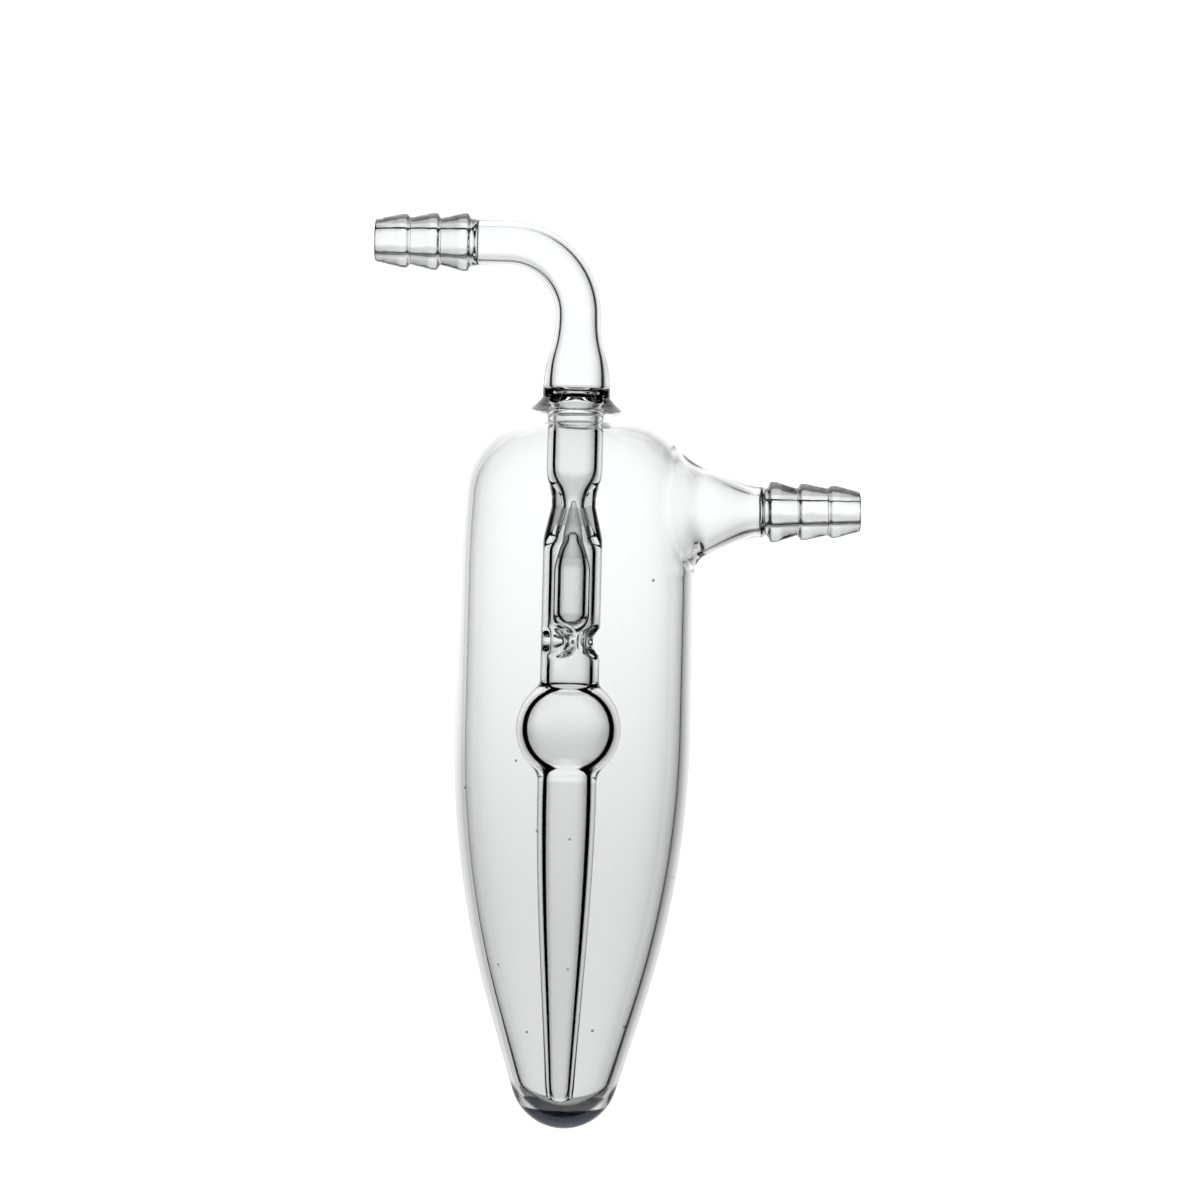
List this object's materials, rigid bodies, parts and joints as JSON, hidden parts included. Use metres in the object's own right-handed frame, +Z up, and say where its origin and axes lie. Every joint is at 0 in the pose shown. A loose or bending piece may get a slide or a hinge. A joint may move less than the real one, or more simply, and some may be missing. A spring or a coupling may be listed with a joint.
{
  "type": "gas bubbler",
  "caption": "Clear blown glass gas bubbler: bullet-shaped vessel, bent inlet and side outlet with hose barbs, inner tube with bulb and a loose float that can close a ground seat.",
  "frame": {"origin": "on the vessel's axis, in the middle of the straight wall that a clamp grips", "axes": "+Z up along the vessel's axis, +X towards the side outlet, -X towards the inlet's hose barb"},
  "size_m": [0.0833, 0.04, 0.1546],
  "materials": {
    "clear_glass": "clear fire-polished borosilicate glass",
    "float_glass": "clear glass with a fine ground nose"
  },
  "bodies": {
    "glass": {"glass_body": "clear_glass"},
    "float": {"valve_float": "float_glass"}
  },
  "joints": [
    {"name": "float_rise", "type": "slide", "parent": "glass", "child": "float", "axis": [0, 0, 1], "range_m": [0, 0.0032]}
  ]
}
